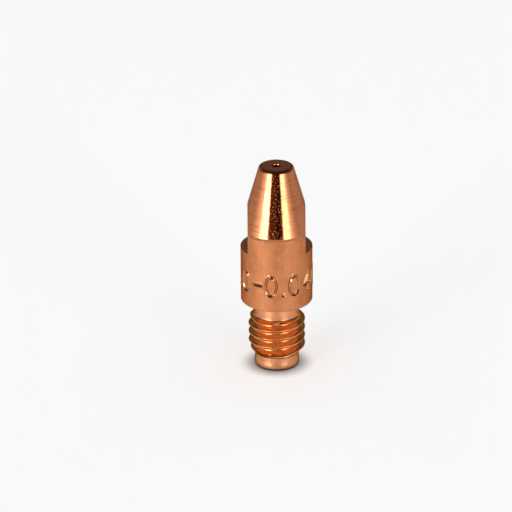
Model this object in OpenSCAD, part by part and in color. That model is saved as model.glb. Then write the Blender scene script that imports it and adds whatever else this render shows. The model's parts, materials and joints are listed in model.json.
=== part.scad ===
// Contact tip for a wire-feed welding torch, turned from one copper-alloy bar.
// It stands on its rear end: +Z runs up to the nose, and the wire leaves there.

/* [Body] */
// Length from the rear end to the nose face
overall_length = 30; // [28:0.5:40]
// Diameter of the drawn bar
body_d = 10; // [9.6:0.1:12]
// Break of the edge between the body and its seat
body_edge = 0.15; // [0.1:0.05:0.3]

/* [Nose] */
// Diameter across the nose's rounded edge
nose_d = 5; // [4:0.1:6]
// Height of the nose, from the bar up to the nose face
taper_h = 9.1; // [7.5:0.1:10.5]
// Radius of the nose's edge
nose_edge = 0.5; // [0.2:0.05:0.6]

/* [Wrench flats] */
// Distance across the two flats
across_flats = 8; // [7:0.1:8.6]
// Length of the flats, from the nose face down to their ledges
flats_length = 12; // [10.5:0.5:14]

/* [Threaded stub] */
// Length of the stub, from the rear end to the seat
stub_length = 10; // [9.5:0.25:12]
// Outside diameter of the thread
thread_d = 7.92; // [7.6:0.02:8.4]
// Pitch of the right-hand thread
thread_pitch = 1.25; // [0.8:0.05:1.4]
// Length of the threaded land, with its chamfers
thread_length = 5.8; // [4.5:0.1:6.2]
// Length of the plain spigot behind the thread
spigot_length = 1.9; // [1.6:0.1:2.4]
// Depth of the neck and spigot below the thread's root
relief = 0.12; // [0.05:0.01:0.3]
// Height of the bevel round the rear end
rear_bevel = 0.45; // [0.2:0.05:0.8]
// Bearing, from the right, at which the thread's groove starts
thread_start = 15; // [0:5:355]

/* [Wire bore] */
// Diameter of the wire bore
bore_d = 1.1; // [0.8:0.1:1.6]
// Diameter of the funnel at the rear, where the wire enters
entry_d = 3; // [2:0.1:3.4]
// Break of the bore's edge at the nose
mouth_edge = 0.2; // [0.05:0.01:0.3]

/* [Hidden] */
$fn = 96;

body_r = body_d / 2;
taper_foot_z = overall_length - taper_h;
ledge_z = overall_length - flats_length;

// The taper runs straight into the nose's rounded edge
edge_r = nose_d / 2 - nose_edge;
edge_z = overall_length - nose_edge;
edge_away = norm([body_r - edge_r, edge_z - taper_foot_z]);
taper_lean = atan((body_r - edge_r) / (edge_z - taper_foot_z)) - asin(nose_edge / edge_away);
taper_end = [edge_r + nose_edge * cos(taper_lean), edge_z + nose_edge * sin(taper_lean)];

// A 60 degree thread, cut to the depth of a metric external thread
flank_angle = 30;
depth_per_pitch = 0.6134;
thread_depth = depth_per_pitch * thread_pitch;
crest_flat = thread_pitch / 8;
thread_r = thread_d / 2;
root_r = thread_r - thread_depth;
neck_r = root_r - relief;
thread_foot_z = spigot_length;
thread_top_z = thread_foot_z + thread_length;

// How far each turned slope leans from the axis
lead_in_lean = 30;
land_end_lean = 60;
rear_lean = 35;
entry_lean = 30;

lead_in_h = (thread_r - neck_r) / tan(lead_in_lean);
land_end_h = (thread_r - neck_r) / tan(land_end_lean);
rear_r = neck_r - rear_bevel * tan(rear_lean);

bore_r = bore_d / 2;
mouth_r = bore_r + mouth_edge;
entry_r = entry_d / 2;
entry_h = (entry_r - bore_r) / tan(entry_lean);

// The groove's cutter clears the crest by less than would let its turns touch
cut_over = crest_flat / 2;
cut_steps = 36;
cut_root_w = thread_pitch - crest_flat - 2 * thread_depth * tan(flank_angle);
cut_open_w = thread_pitch - crest_flat + 2 * cut_over * tan(flank_angle);
cut_from_z = thread_foot_z - cut_open_w / 2 - thread_pitch / cut_steps;
cut_turns = (thread_length + cut_open_w) / thread_pitch + 2 / cut_steps;

copper = [0.78, 0.47, 0.31];

// Half section of the tip as it leaves the lathe, with no bore, flats or thread
module turned_section() {
    polygon([
        [0, 0],
        [rear_r, 0],
        [neck_r, rear_bevel],
        [neck_r, thread_foot_z],
        [thread_r, thread_foot_z + lead_in_h],
        [thread_r, thread_top_z - land_end_h],
        [neck_r, thread_top_z],
        [neck_r, stub_length],
        [body_r - body_edge, stub_length],
        [body_r, stub_length + body_edge],
        [body_r, taper_foot_z],
        taper_end,
        [edge_r, edge_z],
        [edge_r, overall_length],
        [0, overall_length]
    ]);
    // The nose's rounded edge
    translate([edge_r, edge_z])
        intersection() {
            reach = 2 * nose_edge;
            circle(r = nose_edge);
            polygon([
                [0, 0],
                [reach * cos(taper_lean), reach * sin(taper_lean)],
                [reach, reach],
                [0, reach]
            ]);
        }
}

// Half section of the bore, funnelled where the wire enters and eased where it leaves
module bore_section() {
    past = 1;
    polygon([
        [0, -past],
        [entry_r, -past],
        [entry_r, 0],
        [bore_r, entry_h],
        [bore_r, overall_length - mouth_edge],
        [mouth_r, overall_length],
        [mouth_r, overall_length + past],
        [0, overall_length + past]
    ]);
}

// Corners of the groove's section where the helix has turned by a given angle
function groove_corners(angle) =
    let (
        rise = cut_from_z + thread_pitch * angle / 360,
        bearing = thread_start + angle,
        across = [cos(bearing), sin(bearing)],
        corners = [
            [root_r, -cut_root_w / 2],
            [thread_r + cut_over, -cut_open_w / 2],
            [thread_r + cut_over, cut_open_w / 2],
            [root_r, cut_root_w / 2]
        ]
    )
    [for (c = corners) [c[0] * across[0], c[0] * across[1], rise + c[1]]];

// Helical cutter of the thread's groove
module thread_groove() {
    last = ceil(cut_turns * cut_steps);
    rings = [for (i = [0:last]) groove_corners(i * 360 / cut_steps)];
    points = [for (ring = rings) each ring];
    sides = [
        for (i = [0:last - 1], k = [0:3])
            let (a = 4 * i + k, b = 4 * i + (k + 1) % 4)
            each [[a, b, a + 4], [b, b + 4, a + 4]]
    ];
    first_cap = [[0, 3, 2], [0, 2, 1]];
    end = 4 * last;
    last_cap = [[end, end + 1, end + 2], [end, end + 2, end + 3]];
    polyhedron(points, concat(sides, first_cap, last_cap), convexity = 10);
}

// Waste that the mill takes off on both sides to leave the wrench flats
module flat_waste() {
    reach = body_r;
    for (side = [-1, 1])
        translate([side * (across_flats + reach) / 2, 0, ledge_z + flats_length / 2 + reach / 2])
            cube([reach, 2 * body_d, flats_length + reach], center = true);
}

module contact_tip() {
    color(copper)
        difference() {
            rotate_extrude() turned_section();
            rotate_extrude() bore_section();
            flat_waste();
            thread_groove();
        }
}

contact_tip();
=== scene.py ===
import json
import math

import bpy
import numpy as np
from mathutils import Matrix, Vector
from mathutils.kdtree import KDTree


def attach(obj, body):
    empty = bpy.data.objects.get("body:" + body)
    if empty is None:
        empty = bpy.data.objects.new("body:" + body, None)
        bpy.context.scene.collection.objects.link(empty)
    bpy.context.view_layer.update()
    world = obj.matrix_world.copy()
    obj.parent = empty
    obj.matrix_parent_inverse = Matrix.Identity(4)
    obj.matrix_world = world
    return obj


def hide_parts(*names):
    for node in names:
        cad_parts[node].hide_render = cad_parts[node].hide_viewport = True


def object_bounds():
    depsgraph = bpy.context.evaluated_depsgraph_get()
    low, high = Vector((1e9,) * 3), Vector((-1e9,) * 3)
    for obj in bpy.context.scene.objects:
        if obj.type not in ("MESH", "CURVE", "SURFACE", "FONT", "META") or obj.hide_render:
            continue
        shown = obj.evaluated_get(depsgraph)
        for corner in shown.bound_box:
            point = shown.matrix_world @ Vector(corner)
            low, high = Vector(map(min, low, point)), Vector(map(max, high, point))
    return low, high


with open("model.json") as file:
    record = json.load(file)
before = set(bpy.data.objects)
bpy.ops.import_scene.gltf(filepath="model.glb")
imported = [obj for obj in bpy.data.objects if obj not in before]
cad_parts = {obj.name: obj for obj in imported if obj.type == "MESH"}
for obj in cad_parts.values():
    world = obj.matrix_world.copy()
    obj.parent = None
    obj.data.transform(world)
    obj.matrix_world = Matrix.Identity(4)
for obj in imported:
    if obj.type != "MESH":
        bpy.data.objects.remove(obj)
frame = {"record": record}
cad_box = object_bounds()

# Sizes in millimetres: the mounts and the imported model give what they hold

MM = 0.001
mounts = {m["name"]: m for m in frame["record"]["mounts"]}
length = round(cad_box[1].z / MM, 2)
body_r = round(cad_box[1].y / MM, 2)
seat_z = mounts["seat"]["pos_m"][2] / MM
flat_x = mounts["wrench_flat_right"]["pos_m"][0] / MM
thread_r = mounts["thread"]["dims"]["r_mm"]
spigot_r = mounts["rear_spigot"]["dims"]["r_mm"]
bore_r = mounts["wire_bore"]["dims"]["r_mm"]

nose_r = 2.5
nose_round = 0.5
taper_foot_z = 20.9
taper_foot_round = 1.0
body_edge = 0.15
flats_length = 12
ledge_z = length - flats_length

pitch = 1.25
depth_per_pitch = 0.6134
root_r = thread_r - depth_per_pitch * pitch
thread_foot_z = 1.9
thread_top_z = thread_foot_z + mounts["thread"]["dims"]["length_mm"]
groove_z_at_right = 1.2212
lead_in_lean, run_out_lean = 40, 60
run_out_cove = 0.14
neck_fillet = 0.15

bead_z, bead_proud = 0.85, 0.075
bead_r = spigot_r + bead_proud
rear_r = 2.75
rear_bevel = 0.45
bevel_ease, rear_ease, rear_edge = 0.04, 0.03, 0.08

entry_r, entry_h = 1.5, 1.645
entry_ease, entry_slope = 0.02, math.sqrt(3)
bore_top_z = length - 1
mouth_flare, mouth_edge, mouth_lean = 1.3, 0.06, 20
mouth_from = length - mouth_edge - (mouth_flare - mouth_edge) * math.sin(math.radians(mouth_lean))
mouth_r = bore_r + mouth_flare - (mouth_flare - mouth_edge) * math.cos(math.radians(mouth_lean))


# Modelling: sections are drawn in the XZ plane, radius along X

def use(piece):
    """Makes one piece the active one, and the only one selected."""
    bpy.ops.object.select_all(action="DESELECT")
    piece.select_set(True)
    bpy.context.view_layer.objects.active = piece


def open_mesh(piece):
    """Opens one piece in edit mode with nothing selected."""
    use(piece)
    bpy.ops.object.mode_set(mode="EDIT")
    bpy.ops.mesh.select_mode(type="VERT")
    bpy.ops.mesh.select_all(action="DESELECT")


def close_mesh():
    bpy.ops.object.mode_set(mode="OBJECT")


def apply_modifier(piece, name):
    use(piece)
    bpy.ops.object.modifier_apply(modifier=name)


def along(first, last, share):
    """The point at a share of the way between two points."""
    return tuple(a + (b - a) * share for a, b in zip(first, last))


def arc(centre, radius, first, last, steps):
    """Points of an arc in a section, by angles from the X axis."""
    angles = [math.radians(first + (last - first) * i / steps) for i in range(steps + 1)]
    return [(centre[0] + radius * math.cos(a), centre[1] + radius * math.sin(a)) for a in angles]


def draw_section(name, points):
    """A chain of corners, each extruded from the one before."""
    bpy.ops.object.select_all(action="DESELECT")
    bpy.ops.mesh.primitive_plane_add(size=1)
    piece = bpy.context.object
    piece.name = name
    bpy.ops.object.mode_set(mode="EDIT")
    bpy.ops.mesh.select_mode(type="VERT")
    bpy.ops.mesh.select_all(action="SELECT")
    bpy.ops.mesh.merge(type="COLLAPSE")
    bpy.ops.transform.translate(value=(points[0][0], 0, points[0][1]))
    for (r0, z0), (r1, z1) in zip(points, points[1:]):
        step = {"value": (r1 - r0, 0, z1 - z0)}
        bpy.ops.mesh.extrude_vertices_move(TRANSFORM_OT_translate=step)
    close_mesh()
    return piece


def pull_rings(rings):
    """Extrudes the selected ring through a list of radii and heights."""
    for (r0, z0), (r1, z1) in zip(rings, rings[1:]):
        bpy.ops.mesh.extrude_edges_move(TRANSFORM_OT_translate={"value": (0, 0, z1 - z0)})
        bpy.ops.transform.resize(value=(r1 / r0, r1 / r0, 1), center_override=(0, 0, z1))


def select_where(piece, part, test):
    """Selects the edges or faces that pass a test."""
    close_mesh()
    for element in getattr(piece.data, part):
        element.select = test(element)
    bpy.ops.object.mode_set(mode="EDIT")


# Shell from the nose face to the seat, turned on the axis

around = 512
same_place = 0.0005
face_r = nose_r - nose_round
nose_run, nose_rise = body_r - face_r, length - nose_round - taper_foot_z
lean = math.atan(nose_run / nose_rise) - math.asin(nose_round / math.hypot(nose_run, nose_rise))
foot_back = taper_foot_round * math.tan(lean / 2)
foot_centre = (body_r - taper_foot_round, taper_foot_z - foot_back)
nose_edge_from = math.radians(24)
nose_edge = (body_r - (length - taper_foot_z) * math.tan(lean) - face_r) / (
    math.cos(nose_edge_from) - (1 - math.sin(nose_edge_from)) * math.tan(lean)
)
nose_arc = arc((face_r, length - nose_edge), nose_edge, 90, math.degrees(nose_edge_from), 7)
foot_arc = arc(foot_centre, taper_foot_round, math.degrees(lean), 0, 5)
taper_shares = (0.015, 0.05, 0.2, 0.4, 0.6, 0.8, 0.95, 0.985)

# Where marks are struck, rows lie close: top, foot and number of rows
dense_zones = [(20.62, 20.12, 5), (17.95, 16.5, 15), (16.0, 11.75, 64)]

shell = draw_section("contact_tip_body", [
    *nose_arc,
    *[along(nose_arc[-1], foot_arc[0], share) for share in taper_shares],
    *foot_arc,
    *[(body_r, z) for zone in dense_zones for z in zone[:2]],
    (body_r, seat_z + 2 * body_edge),
    *arc((body_r - body_edge, seat_z + body_edge), body_edge, 0, -90, 5),
])


def between_heights(piece, low, high, slack=0.01):
    """A test for edges of a piece that lie between two heights."""
    def test(edge):
        heights = [piece.data.vertices[v].co.z for v in edge.vertices]
        return low - slack < min(heights) and max(heights) < high + slack
    return test


for zone_top, zone_foot, rows in dense_zones:
    open_mesh(shell)
    select_where(shell, "edges", between_heights(shell, zone_foot, zone_top))
    bpy.ops.mesh.subdivide(number_cuts=rows - 1)
    close_mesh()
open_mesh(shell)
bpy.ops.mesh.select_all(action="SELECT")
bpy.ops.mesh.spin(
    steps=around, angle=2 * math.pi, center=(0, 0, 0), axis=(0, 0, 1), use_auto_merge=True
)
bpy.ops.mesh.select_all(action="SELECT")
bpy.ops.mesh.remove_doubles(threshold=same_place)
bpy.ops.mesh.normals_make_consistent(inside=False)
close_mesh()

# Size numerals struck into the body, one stroke path a line, and two nicks

numeral_h, numeral_w = 2.85, 1.5
up, side = numeral_h / 2, numeral_w / 2


def oval(width, height, steps=40):
    turns = [2 * math.pi * i / steps for i in range(steps + 1)]
    return [(width / 2 * math.sin(turn), height / 2 * math.cos(turn)) for turn in turns]


strokes = {
    "0": [oval(numeral_w, numeral_h)],
    "1": [[(-0.45, up - 0.5), (0, up), (0, -up)]],
    "4": [[(0.3, -up), (0.3, up), (-side, -0.45), (side, -0.45)]],
    "-": [[(-0.62, 0), (0.62, 0)]],
    ".": [[(-0.04, -up + 0.08), (0.04, -up + 0.08)]],
}
numeral_z = 13.85
numerals = [
    ("1", -106), (".", -80), ("0", -57.8), ("-", -32.6), ("0", -9.3),
    (".", 10.3), ("0", 29.1), ("4", 57), ("0", 82),
]
numeral_half, numeral_depth, numeral_lip = 0.19, 0.15, 0.05
nick_half = 0.11
nicks = [
    ("nick", 0.055, [(-2.93, 17.77), (-3.37, 17.18), (-3.14, 16.66)]),
    ("scratch", 0.025, [(-1.67, 20.31), (-1.3, 20.46), (-1.09, 20.43)]),
]

# A lip's middle, width and end, in half widths of its stroke
lip_at, lip_share, lip_reach = 1.35, 0.4, 1.7


def unroll(x, y, z):
    """A place on the body, as laid out flat."""
    return (math.atan2(x, -y) * body_r, z, 0)


def stroke_points(path, spacing=0.02):
    """Points spaced evenly along a stroke."""
    found = []
    for first, last in zip(path, path[1:]):
        count = max(1, int(math.dist(first, last) / spacing))
        found += [along(first, last, i / count) for i in range(count + 1)]
    return found


def strike(piece, name, paths, half, depth, lip_rise):
    """Presses strokes into the body and raises a lip round them."""
    points = [point for path in paths for point in stroke_points(path)]
    tree = KDTree(len(points))
    for index, (x, y) in enumerate(points):
        tree.insert((x, y, 0), index)
    tree.balance()
    groove_name, lip_name = name + "_groove", name + "_lip"
    groove = piece.vertex_groups.new(name=groove_name)
    lip = piece.vertex_groups.new(name=lip_name)
    for vertex in piece.data.vertices:
        if abs(math.hypot(*vertex.co[:2]) - body_r) > 0.01:
            continue
        away = tree.find(unroll(*vertex.co))[2]
        if away < half:
            groove.add([vertex.index], math.cos(away / half * math.pi / 2), "REPLACE")
        rise = math.exp(-(((away - lip_at * half) / (lip_share * half)) ** 2))
        if rise > 0.01:
            lip.add([vertex.index], rise, "REPLACE")
    moves = {groove_name: -depth, lip_name: lip_rise}
    for group, move in moves.items():
        push = piece.modifiers.new(group, "DISPLACE")
        push.vertex_group = group
        push.mid_level = 0
        push.strength = move
    for group in moves:
        apply_modifier(piece, group)
    return tree


numeral_paths = [
    [(x + math.radians(bearing) * body_r, y + numeral_z) for x, y in path]
    for numeral, bearing in numerals
    for path in strokes[numeral]
]
struck = strike(shell, "numeral", numeral_paths, numeral_half, numeral_depth, numeral_lip)
marks = [(struck, lip_reach * numeral_half)]
for name, depth, path in nicks:
    marks.append((strike(shell, name, [path], nick_half, depth, depth / 3), nick_half))
shell.vertex_groups.clear()

# Threaded stub: the thread's section is screwed up the axis, then trimmed to the turned blank

turns = 7
steps_round = 192
half_flank = math.radians(30)
root_round, crest_round = 0.235, 0.09
apex_r = root_r - pitch / 12 * math.sqrt(3)
crest_from = pitch / 2 - pitch / 16 + crest_round * math.tan(half_flank)
root_arc = arc((0, apex_r + 2 * root_round), root_round, -90, -30, 7)
crest_arc = arc((crest_from, thread_r - crest_round), crest_round, 150, 90, 4)
flank = [along(root_arc[-1], crest_arc[0], share) for share in (0.12, 0.5, 0.88)]
half_thread = [*root_arc, *flank, *crest_arc, (pitch / 2, thread_r)]
thread_section = half_thread + [(pitch - u, r) for u, r in reversed(half_thread[:-1])]
first_z = groove_z_at_right - pitch
stub = draw_section("contact_tip_stub", [(r, first_z + u) for u, r in thread_section])
screw = stub.modifiers.new("thread", "SCREW")
screw.axis = "Z"
screw.angle = 2 * math.pi
screw.screw_offset = pitch
screw.iterations = turns
screw.steps = screw.render_steps = steps_round
apply_modifier(stub, "thread")


def trim_to_blank(piece):
    """Brings what stands out of the turned blank back to its slopes."""
    co = np.zeros(len(piece.data.vertices) * 3)
    piece.data.vertices.foreach_get("co", co)
    co = co.reshape(-1, 3)
    above, below = co[:, 2] - thread_foot_z, thread_top_z - co[:, 2]
    eased = (below + np.sqrt(below * below + run_out_cove * run_out_cove)) / 2
    lead_in = spigot_r + np.maximum(0, above) * math.tan(math.radians(lead_in_lean))
    run_out = spigot_r + eased * math.tan(math.radians(run_out_lean))
    radius = np.hypot(co[:, 0], co[:, 1])
    keep = np.minimum(1, np.minimum(lead_in, run_out) / radius)
    co[:, :2] *= keep[:, None]
    piece.data.vertices.foreach_set("co", co.ravel())
    piece.data.update()


trim_to_blank(stub)
top_cut, low_cut = thread_top_z + 0.45, thread_foot_z - 0.4
bead_shares = (0.2, 0.4, 0.6, 0.8, 0.95)
open_mesh(stub)
bpy.ops.mesh.select_all(action="SELECT")
bpy.ops.mesh.remove_doubles(threshold=same_place)
bpy.ops.mesh.select_all(action="SELECT")
bpy.ops.mesh.bisect(plane_co=(0, 0, top_cut), plane_no=(0, 0, 1), clear_outer=True)
pull_rings([
    (spigot_r, top_cut),
    (spigot_r, seat_z - 2 * neck_fillet),
    *arc((spigot_r + neck_fillet, seat_z - neck_fillet), neck_fillet, 180, 90, 5),
])
bpy.ops.mesh.select_all(action="SELECT")
bpy.ops.mesh.bisect(plane_co=(0, 0, low_cut), plane_no=(0, 0, 1), clear_inner=True)
pull_rings([
    (spigot_r, low_cut),
    *[(spigot_r + bead_proud * t * t, low_cut - (low_cut - bead_z) * t) for t in bead_shares],
    (bead_r, bead_z),
    (bead_r, rear_bevel - 2 * bevel_ease),
    (bead_r - bevel_ease / 2, rear_bevel - 3 * bevel_ease),
    (rear_r + rear_ease, 2 * rear_ease),
    (rear_r, rear_ease),
    (rear_r - rear_edge, 0),
    (entry_r, 0),
    (entry_r - entry_ease, entry_ease * entry_slope),
    (bore_r + entry_ease, entry_h - entry_ease * entry_slope),
    (bore_r, entry_h),
    (bore_r, bore_top_z),
    *arc((bore_r + mouth_flare, mouth_from), mouth_flare, 180, 180 - mouth_lean, 6),
    *arc((mouth_r, length - mouth_edge), mouth_edge, 180 - mouth_lean, 90, 4)[1:],
])
close_mesh()

# The stub and the shell meet at the seat and at the bore's mouth

use(shell)
stub.select_set(True)
bpy.ops.object.join()
tip = shell
tip.name = tip.data.name = "contact_tip_turned"


def bridge_rings(piece, height, slack=0.02):
    """Joins the two open rings that lie at one height."""
    open_mesh(piece)
    bpy.ops.mesh.select_mode(type="EDGE")
    bpy.ops.mesh.select_non_manifold(extend=False, use_boundary=True)
    close_mesh()
    vertices = piece.data.vertices
    for edge in piece.data.edges:
        middle = sum(vertices[v].co.z for v in edge.vertices) / 2
        edge.select = edge.select and abs(middle - height) < slack
    corners = {v for edge in piece.data.edges if edge.select for v in edge.vertices}
    for vertex in vertices:
        vertex.select = vertex.index in corners
    bpy.ops.object.mode_set(mode="EDIT")
    bpy.ops.mesh.bridge_edge_loops()
    close_mesh()


for height in (seat_z, length):
    bridge_rings(tip, height)
open_mesh(tip)
bpy.ops.mesh.select_all(action="SELECT")
bpy.ops.mesh.normals_make_consistent(inside=False)
close_mesh()


# Wrench flats, milled down from the nose

def mill_flat(piece, direction):
    """Takes one side off, from the nose down to its ledge."""
    bpy.ops.object.select_all(action="DESELECT")
    place = (direction * (flat_x + body_r / 2), 0, ledge_z + length / 2)
    bpy.ops.mesh.primitive_cube_add(size=1, location=place)
    mill = bpy.context.object
    bpy.ops.transform.resize(value=(body_r, 3 * body_r, length))
    bpy.ops.object.transform_apply(location=True, rotation=True, scale=True)
    cut = piece.modifiers.new("flat", "BOOLEAN")
    cut.operation = "DIFFERENCE"
    cut.solver = "EXACT"
    cut.object = mill
    apply_modifier(piece, "flat")
    bpy.data.objects.remove(mill)


def milled(face):
    """Whether a face is one of the flats or ledges."""
    wall = abs(abs(face.center.x) - flat_x) < 0.001 and abs(face.normal.x) > 0.999
    ledge = abs(face.center.z - ledge_z) < 0.001 and face.normal.z > 0.999
    return face.center.z > ledge_z - 0.01 and (wall or ledge)


for direction in (-1, 1):
    mill_flat(tip, direction)
open_mesh(tip)
bpy.ops.mesh.select_mode(type="FACE")
select_where(tip, "polygons", milled)
bpy.ops.mesh.region_to_loop()
bpy.ops.mesh.mark_sharp()
close_mesh()

# The piece is brought from millimetres to metres

use(tip)
tip.scale = (MM, MM, MM)
bpy.ops.object.transform_apply(location=True, rotation=True, scale=True)
bpy.ops.object.shade_smooth_by_angle(angle=math.radians(30), keep_sharp_edges=True)


# Shader arithmetic

class Value:
    """A shader socket that Python arithmetic works on."""

    def __init__(self, nodes, socket):
        self.nodes, self.socket = nodes, socket

    def math(self, operation, *values):
        return self.nodes.node("ShaderNodeMath", {"operation": operation}, dict(enumerate(values)))

    def __add__(self, other):
        return self.math("ADD", self, other)

    def __radd__(self, other):
        return self.math("ADD", other, self)

    def __mul__(self, other):
        return self.math("MULTIPLY", self, other)

    def __rmul__(self, other):
        return self.math("MULTIPLY", other, self)

    def __pow__(self, other):
        return self.math("POWER", self, other)

    def __neg__(self):
        return self.math("MULTIPLY", self, -1.0)

    def __abs__(self):
        return self.math("ABSOLUTE", self)


class Nodes:
    """The nodes of one material or of the world."""

    def __init__(self, tree):
        self.tree = tree

    def node(self, kind, settings=None, values=None, output=0):
        made = self.tree.nodes.new(kind)
        for name, setting in (settings or {}).items():
            setattr(made, name, setting)
        for name, value in (values or {}).items():
            if isinstance(value, Value):
                self.tree.links.new(value.socket, made.inputs[name])
            else:
                made.inputs[name].default_value = value
        return Value(self, made.outputs[output])

    def parts(self, vector):
        """The three numbers of a vector."""
        return [self.node("ShaderNodeSeparateXYZ", None, {0: vector}, i) for i in range(3)]

    def vector(self, x, y, z):
        return self.node("ShaderNodeCombineXYZ", None, {0: x, 1: y, 2: z})

    def scaled(self, vector, scale):
        settings = {"operation": "SCALE"}
        return self.node("ShaderNodeVectorMath", settings, {0: vector, "Scale": scale})

    def angle(self, x, y):
        """The bearing of a place, from the front towards the right."""
        return self.node("ShaderNodeMath", {"operation": "ARCTAN2"}, {0: x, 1: -y})

    def step(self, value, low, high):
        """0 below low and 1 above high, eased between; low may lie above high."""
        return self.node(
            "ShaderNodeMapRange",
            {"interpolation_type": "SMOOTHSTEP"},
            {"Value": value, "From Min": low, "From Max": high, "To Min": 0.0, "To Max": 1.0},
        )

    def noise(self, vector, rough=0.5):
        return self.node(
            "ShaderNodeTexNoise",
            {"noise_dimensions": "3D"},
            {"Vector": vector, "Scale": 1.0, "Detail": 3.0, "Roughness": rough},
        )

    def blend(self, share, first, second):
        """A colour between two colours."""
        return self.node("ShaderNodeMix", {"data_type": "RGBA"}, {0: share, 6: first, 7: second}, 2)


class Metal(Nodes):
    """A copper finish, with the place, bearing and height of each point in millimetres."""

    def __init__(self, name, tint):
        self.material = bpy.data.materials.new(name)
        self.material.use_nodes = True
        super().__init__(self.material.node_tree)
        self.shader = self.tree.nodes["Principled BSDF"]
        self.set("Metallic", 1.0)
        self.set("Specular Tint", tint)
        self.place = self.scaled(self.node("ShaderNodeTexCoord", None, None, 3), 1 / MM)
        x, y, self.height = self.parts(self.place)
        self.bearing = self.angle(x, y)

    def set(self, name, value):
        self.shader.inputs[name].default_value = value

    def spread_upward(self, amount):
        """Spreads light along the tip's length, across the marks of the tool."""
        self.set("Anisotropic", amount)
        self.set("Anisotropic Rotation", 0.25)

    def streaks(self, around, upward, rough=0.6):
        """Streaks, so many to the radian round the tip and to the millimetre along it."""
        place = self.vector(self.bearing * around, 0.0, self.height * upward)
        return self.noise(place, rough)

    def cloud(self, scale):
        """Soft blotches, so many to the millimetre."""
        return self.noise(self.scaled(self.place, scale))

    def dots(self, scale, edge, core):
        """Scattered round spots, 1 inside their core and 0 past their edge."""
        away = self.node(
            "ShaderNodeTexVoronoi",
            {"feature": "F1"},
            {"Vector": self.place, "Scale": scale, "Randomness": 1.0},
        )
        return self.step(away, edge, core)

    def finish(self, colour, rough, relief, depth):
        """Links the colour, the roughness and a relief whose depth is in millimetres."""
        values = {"Strength": 1.0, "Distance": depth * MM, "Height": relief}
        bump = self.node("ShaderNodeBump", None, values)
        for name, value in (("Base Color", colour), ("Roughness", rough), ("Normal", bump)):
            self.tree.links.new(value.socket, self.shader.inputs[name])
        return self.material


copper = (0.46, 0.173, 0.077, 1)
red_copper = (0.335, 0.104, 0.039, 1)
bar_copper = (0.59, 0.225, 0.092, 1)
brown_copper = (0.48, 0.18, 0.08, 1)
pale_copper = (0.68, 0.28, 0.14, 1)
stain_copper = (0.52, 0.165, 0.055, 1)
speck_brown = (0.20, 0.07, 0.03, 1)
neck_copper = (0.73, 0.325, 0.165, 1)
neck_brown = (0.64, 0.27, 0.135, 1)
thread_copper = (0.78, 0.33, 0.122, 1)
thread_red = (0.72, 0.285, 0.097, 1)
struck_copper = (0.66, 0.29, 0.13, 1)
faced_copper = (0.62, 0.25, 0.125, 1)
faced_brown = (0.54, 0.21, 0.105, 1)

# How much light each finish gives back at a glancing angle
edge_tint = (0.14, 0.13, 0.15, 1)
faced_tint = (0.5, 0.5, 0.5, 1)
polished_tint = (0.45, 0.4, 0.4, 1)


def polished_taper():
    """Rings left by the turning tool, small scuffs and pits."""
    metal = Metal("copper_polished_taper", polished_tint)
    rings = metal.streaks(0.7, 4.5)
    scuffs = metal.streaks(12.0, 3.5, 0.7)
    pits = metal.dots(3.8, 0.25, 0.1)
    reddened = metal.step(rings, 0.5, 0.66) * metal.step(metal.cloud(0.5), 0.3, 0.6)
    colour = metal.blend(reddened, copper, red_copper)
    return metal.finish(colour, 0.06 + 0.05 * rings, 0.5 * rings + 0.55 * scuffs + pits, 0.014)


def satin_bar():
    """Drawing lines along the bar, stains and a few dark specks."""
    metal = Metal("copper_satin_bar", edge_tint)
    metal.spread_upward(0.2)
    lines = metal.streaks(40.0, 0.16)
    specks = metal.dots(1.1, 0.13, 0.05)
    cloud = metal.cloud(0.45)
    stains = metal.step(metal.cloud(0.7), 0.56, 0.68)
    colour = metal.blend(metal.step(cloud, 0.4, 0.75), bar_copper, brown_copper)
    colour = metal.blend(0.75 * metal.step(lines, 0.48, 0.68), colour, pale_copper)
    colour = metal.blend(0.5 * stains, colour, stain_copper)
    colour = metal.blend(0.7 * specks, colour, speck_brown)
    return metal.finish(colour, 0.40 + 0.14 * cloud, 0.4 * lines + specks, 0.012)


def cut_thread():
    """The thread's flanks and roots, the seat and the bore."""
    metal = Metal("copper_cut_thread", edge_tint)
    rings = metal.streaks(0.6, 6.0)
    colour = metal.blend(metal.step(metal.cloud(0.9), 0.4, 0.7), thread_copper, thread_red)
    return metal.finish(colour, 0.18 + 0.08 * rings, rings, 0.002)


def turned_spigot():
    """The spigot, the neck and the thread's crest, as the tool left them."""
    metal = Metal("copper_turned_spigot", edge_tint)
    metal.spread_upward(0.55)
    rings = metal.streaks(0.6, 5.0)
    colour = metal.blend(metal.step(metal.cloud(0.9), 0.4, 0.7), neck_copper, neck_brown)
    return metal.finish(colour, 0.36 + 0.08 * rings, rings, 0.01)


def milled_flat():
    """The flats and ledges, and the faced nose."""
    metal = Metal("copper_milled_flat", faced_tint)
    stretch = {0: metal.place, 1: (6, 1, 14)}
    sweep = metal.noise(metal.node("ShaderNodeVectorMath", {"operation": "MULTIPLY"}, stretch))
    colour = metal.blend(metal.step(metal.cloud(0.8), 0.35, 0.75), faced_copper, faced_brown)
    return metal.finish(colour, 0.20 + 0.12 * sweep, sweep, 0.002)


def burnished_edge():
    """Metal burnished by the punch, the mill's edges and the countersink."""
    metal = Metal("copper_burnished_edge", edge_tint)
    grain = metal.cloud(5.0)
    colour = metal.blend(grain, struck_copper, copper)
    return metal.finish(colour, 0.08 + 0.06 * grain, grain, 0.008)


finishes = (satin_bar, polished_taper, cut_thread, turned_spigot, milled_flat, burnished_edge)
for make_finish in finishes:
    tip.data.materials.append(make_finish())
BAR, TAPER, STUB, TURNED, FLAT, STRUCK = range(len(finishes))
burr_width, burr_waves = 0.18, (7, 3.1)
crest_band = 0.03
below_face = length - 0.001


def burr(z):
    """How far the mill's edge is burnished at a height."""
    return burr_width * math.sin(burr_waves[0] * z) * math.sin(burr_waves[1] * z)


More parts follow.
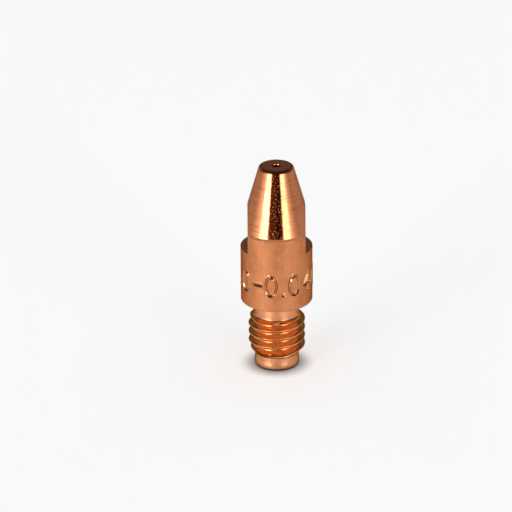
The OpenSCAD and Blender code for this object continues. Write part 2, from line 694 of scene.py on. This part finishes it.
def left_turned(out, z):
    """Whether a place is on the spigot, the neck or the thread's crest."""
    spigot = z < thread_foot_z - 0.1 and out > entry_r
    neck = thread_top_z + 0.1 < z < seat_z - 0.05 and out > bore_r + 1
    crest = abs(out - thread_r) < crest_band and z < thread_top_z
    return spigot or neck or crest


def finish_of(face):
    """Which finish a face has, by its place and the way it points."""
    x, y, z = face.center / MM
    out = math.hypot(x, y)
    in_bore = out < mouth_r and z < below_face
    if in_bore and z > mouth_from:
        return STRUCK
    if left_turned(out, z):
        return TURNED
    if z < seat_z + 0.01 or in_bore:
        return STUB
    wall = abs(abs(x) - flat_x) < 0.02 and abs(face.normal.x) > 0.99
    ledge = abs(z - ledge_z) < 0.02
    if z > below_face or z > ledge_z - 0.01 and (wall or ledge):
        return FLAT
    flat_place = unroll(x, y, z)
    if z < taper_foot_z and any(tree.find(flat_place)[2] < reach for tree, reach in marks):
        return STRUCK
    if ledge_z < z < taper_foot_z - foot_back and abs(x) > flat_x - burr(z):
        return STRUCK
    return TAPER if z > taper_foot_z - 2 * foot_back else BAR


for face in tip.data.polygons:
    face.material_index = finish_of(face)

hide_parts("contact_tip")
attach(tip, "root")

# Pale floor with a painted contact shadow: its colour is darkened towards black close to what
# stands on it

floor_size, floor_drop = 1.2, 0.00001
floor_white = (0.88, 0.89, 0.895, 1)
# Painted shadow: the colour the floor is darkened towards, and how far from the tip (mm) and how
# steeply it darkens
painted_shadow_colour = (0, 0, 0, 1)
painted_shadow_reach, painted_shadow_power = 2.5, 1.6
bpy.ops.object.select_all(action="DESELECT")
bpy.ops.mesh.primitive_plane_add(size=floor_size, location=(0, 0, -floor_drop))
floor = bpy.context.object
floor.name = "floor"
paper = bpy.data.materials.new("floor_paper")
paper.use_nodes = True
paper_shader = paper.node_tree.nodes["Principled BSDF"]
nodes = Nodes(paper.node_tree)
# Painted shadow: ambient occlusion within a short reach darkens the floor's colour where the tip
# stands close by
openness = nodes.node(
    "ShaderNodeAmbientOcclusion", {"samples": 16}, {"Distance": painted_shadow_reach * MM}, 1
)
floor_with_painted_shadow = nodes.blend(openness ** painted_shadow_power, painted_shadow_colour, floor_white)
nodes.tree.links.new(floor_with_painted_shadow.socket, paper_shader.inputs["Base Color"])
paper_shader.inputs["Roughness"].default_value = 0.9
paper_shader.inputs["Specular IOR Level"].default_value = 0.0
floor.data.materials.append(paper)

# Studio: a dim room with soft panels to the left and right of the camera, and a broad lamp overhead

world = bpy.data.worlds.new("studio")
bpy.context.scene.world = world
world.use_nodes = True
nodes = Nodes(world.node_tree)
background = world.node_tree.nodes["Background"]
x, y, z = nodes.parts(nodes.node("ShaderNodeTexCoord", None, None, 0))
degrees = 180 / math.pi
azimuth = nodes.angle(x, y) * degrees
rise = nodes.node("ShaderNodeMath", {"operation": "ARCSINE"}, {0: z}) * degrees


def grey(level):
    return (level, level, level, 1)


def between(value, low, high):
    """1 between two eased limits."""
    return nodes.step(value, *low) * nodes.step(value, *high)


gap_left, gap_right = (0.17, 0.065, 0.02, 1), (0.05, 0.012, 0.005, 1)
gap_top = (0.05, 0.045, 0.045, 1)
room_low, room_high = (0.22, 0.21, 0.2, 1), (0.09, 0.085, 0.08, 1)
gap = nodes.blend(nodes.step(azimuth, -4.0, 4.0), gap_left, gap_right)
gap = nodes.blend(nodes.step(rise, 16.0, 34.0), gap, gap_top)
room = nodes.blend(nodes.step(rise, 28.0, 40.0), room_low, room_high)
colour = nodes.blend(nodes.step(abs(azimuth), 90.0, 40.0), room, gap)
colour = nodes.blend(nodes.step(rise, 5.0, 2.0), colour, grey(0.9))

# Each panel's left and right limits, eased, in degrees from the camera, and its strength
panels = [
    ((-95.0, -52.0), (-22.0, -60.0), 2.8),
    ((-62.0, -47.0), (-27.0, -30.5), 10.8),
    ((16.0, 50.0), (80.0, 45.0), 2.0),
    ((21.0, 24.5), (53.0, 38.0), 7.2),
]
back_panels = [
    ((-160.0, -150.0), (-115.0, -125.0)),
    ((115.0, 125.0), (160.0, 150.0)),
]
panel_top, panel_full_top, back_top = (23.0, 19.0), (16.0, 11.0), (12.0, 9.0)
upper_share = 0.3
for low, high, strength in panels:
    mask = between(azimuth, low, high)
    upper, full = grey(upper_share * strength), grey(strength)
    colour = nodes.blend(mask * nodes.step(rise, *panel_top), colour, upper)
    colour = nodes.blend(mask * nodes.step(rise, *panel_full_top), colour, full)
for low, high in back_panels:
    mask = between(azimuth, low, high) * nodes.step(rise, *back_top)
    colour = nodes.blend(mask, colour, grey(1.0))
nodes.tree.links.new(colour.socket, background.inputs["Color"])
background.inputs["Strength"].default_value = 1.0

lamp_data = bpy.data.lights.new("overhead", "AREA")
lamp_data.shape = "SQUARE"
lamp_data.size = 1.6
lamp_data.energy = 10.0
# This lamp casts no shadow: the shadow at the tip's foot is painted into the floor's colour
lamp_data.use_shadow = False
lamp = bpy.data.objects.new("overhead", lamp_data)
lamp.location = (0, 0, 0.6)
lamp.visible_glossy = False
bpy.context.scene.collection.objects.link(lamp)

# Camera, placed so that the tip stands where the picture has it

sight = 500.0
scale_px = 7.187
image_px = 512
tilt = math.radians(24.31)
roll = math.radians(0.39)
seen_at = (276.56, 264.72)
back = Vector((0, -math.cos(tilt), math.sin(tilt)))
level, upward = Vector((1, 0, 0)), Vector((0, math.sin(tilt), math.cos(tilt)))
right = math.cos(roll) * level - math.sin(roll) * upward
top = math.cos(roll) * upward + math.sin(roll) * level
off_right = (seen_at[0] - image_px / 2) / scale_px
off_down = (seen_at[1] - image_px / 2) / scale_px
stand = Vector((0, 0, length / 2)) + sight * back - off_right * right + off_down * top
camera_data = bpy.data.cameras.new("camera")
camera_data.sensor_width = 36
camera_data.lens = scale_px * sight * camera_data.sensor_width / image_px
camera = bpy.data.objects.new("camera", camera_data)
turn = Matrix((right, top, back)).transposed()
camera.matrix_world = Matrix.Translation(stand * MM) @ turn.to_4x4()
bpy.context.scene.collection.objects.link(camera)
bpy.context.scene.camera = camera
bpy.context.scene.view_settings.view_transform = "Standard"
